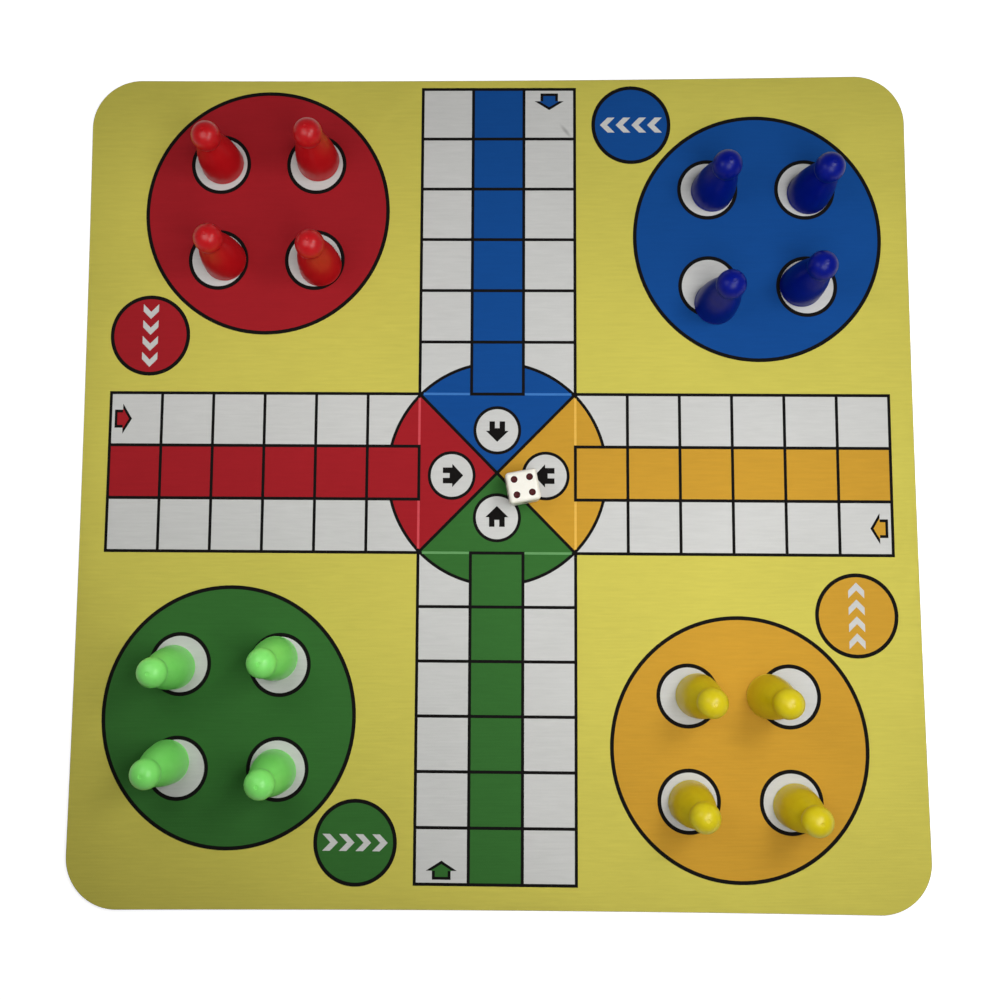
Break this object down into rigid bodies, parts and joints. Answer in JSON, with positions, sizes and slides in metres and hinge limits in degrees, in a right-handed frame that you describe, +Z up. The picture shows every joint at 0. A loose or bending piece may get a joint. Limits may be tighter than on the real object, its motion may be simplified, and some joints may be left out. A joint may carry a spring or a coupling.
{
  "type": "ludo play mat set",
  "caption": "Square soft play mat with round corners and a printed ludo field, with coloured pawns standing in its four yards and a die lying near its middle.",
  "frame": {"origin": "centre of the mat's underside", "axes": "+X to the right and +Y to the top of the board as the picture shows it, +Z up off the playing face"},
  "size_m": [0.3, 0.3, 0.0304],
  "materials": {
    "sheet_rubber": "matte foamed rubber sheet with a fine moulded texture",
    "printed_cloth": "fine knitted polyester, dye printed",
    "red_plastic": "glossy injection moulded",
    "blue_plastic": "glossy injection moulded",
    "green_plastic": "glossy injection moulded",
    "yellow_plastic": "glossy injection moulded",
    "ivory_plastic": "glossy moulded, tumbled edges, painted pips"
  },
  "bodies": {
    "mat": {"mat_rubber_base": "sheet_rubber", "mat_cloth_face": "printed_cloth"},
    "red_pawn_1": {"red_pawn_1": "red_plastic"},
    "red_pawn_2": {"red_pawn_2": "red_plastic"},
    "red_pawn_3": {"red_pawn_3": "red_plastic"},
    "red_pawn_4": {"red_pawn_4": "red_plastic"},
    "blue_pawn_1": {"blue_pawn_1": "blue_plastic"},
    "blue_pawn_2": {"blue_pawn_2": "blue_plastic"},
    "blue_pawn_3": {"blue_pawn_3": "blue_plastic"},
    "blue_pawn_4": {"blue_pawn_4": "blue_plastic"},
    "green_pawn_1": {"green_pawn_1": "green_plastic"},
    "green_pawn_2": {"green_pawn_2": "green_plastic"},
    "green_pawn_3": {"green_pawn_3": "green_plastic"},
    "green_pawn_4": {"green_pawn_4": "green_plastic"},
    "yellow_pawn_1": {"yellow_pawn_1": "yellow_plastic"},
    "yellow_pawn_2": {"yellow_pawn_2": "yellow_plastic"},
    "yellow_pawn_3": {"yellow_pawn_3": "yellow_plastic"},
    "yellow_pawn_4": {"yellow_pawn_4": "yellow_plastic"},
    "die": {"die": "ivory_plastic"}
  },
  "joints": [
    {"name": "red_pawn_1_lift", "type": "slide", "parent": "mat", "child": "red_pawn_1", "axis": [0, 0, 1], "range_m": [0, 0.04]},
    {"name": "red_pawn_2_lift", "type": "slide", "parent": "mat", "child": "red_pawn_2", "axis": [0, 0, 1], "range_m": [0, 0.04]},
    {"name": "red_pawn_3_lift", "type": "slide", "parent": "mat", "child": "red_pawn_3", "axis": [0, 0, 1], "range_m": [0, 0.04]},
    {"name": "red_pawn_4_lift", "type": "slide", "parent": "mat", "child": "red_pawn_4", "axis": [0, 0, 1], "range_m": [0, 0.04]},
    {"name": "blue_pawn_1_lift", "type": "slide", "parent": "mat", "child": "blue_pawn_1", "axis": [0, 0, 1], "range_m": [0, 0.04]},
    {"name": "blue_pawn_2_lift", "type": "slide", "parent": "mat", "child": "blue_pawn_2", "axis": [0, 0, 1], "range_m": [0, 0.04]},
    {"name": "blue_pawn_3_lift", "type": "slide", "parent": "mat", "child": "blue_pawn_3", "axis": [0, 0, 1], "range_m": [0, 0.04]},
    {"name": "blue_pawn_4_lift", "type": "slide", "parent": "mat", "child": "blue_pawn_4", "axis": [0, 0, 1], "range_m": [0, 0.04]},
    {"name": "green_pawn_1_lift", "type": "slide", "parent": "mat", "child": "green_pawn_1", "axis": [0, 0, 1], "range_m": [0, 0.04]},
    {"name": "green_pawn_2_lift", "type": "slide", "parent": "mat", "child": "green_pawn_2", "axis": [0, 0, 1], "range_m": [0, 0.04]},
    {"name": "green_pawn_3_lift", "type": "slide", "parent": "mat", "child": "green_pawn_3", "axis": [0, 0, 1], "range_m": [0, 0.04]},
    {"name": "green_pawn_4_lift", "type": "slide", "parent": "mat", "child": "green_pawn_4", "axis": [0, 0, 1], "range_m": [0, 0.04]},
    {"name": "yellow_pawn_1_lift", "type": "slide", "parent": "mat", "child": "yellow_pawn_1", "axis": [0, 0, 1], "range_m": [0, 0.04]},
    {"name": "yellow_pawn_2_lift", "type": "slide", "parent": "mat", "child": "yellow_pawn_2", "axis": [0, 0, 1], "range_m": [0, 0.04]},
    {"name": "yellow_pawn_3_lift", "type": "slide", "parent": "mat", "child": "yellow_pawn_3", "axis": [0, 0, 1], "range_m": [0, 0.04]},
    {"name": "yellow_pawn_4_lift", "type": "slide", "parent": "mat", "child": "yellow_pawn_4", "axis": [0, 0, 1], "range_m": [0, 0.04]},
    {"name": "die_lift", "type": "slide", "parent": "mat", "child": "die", "axis": [0, 0, 1], "range_m": [0, 0.04]}
  ]
}
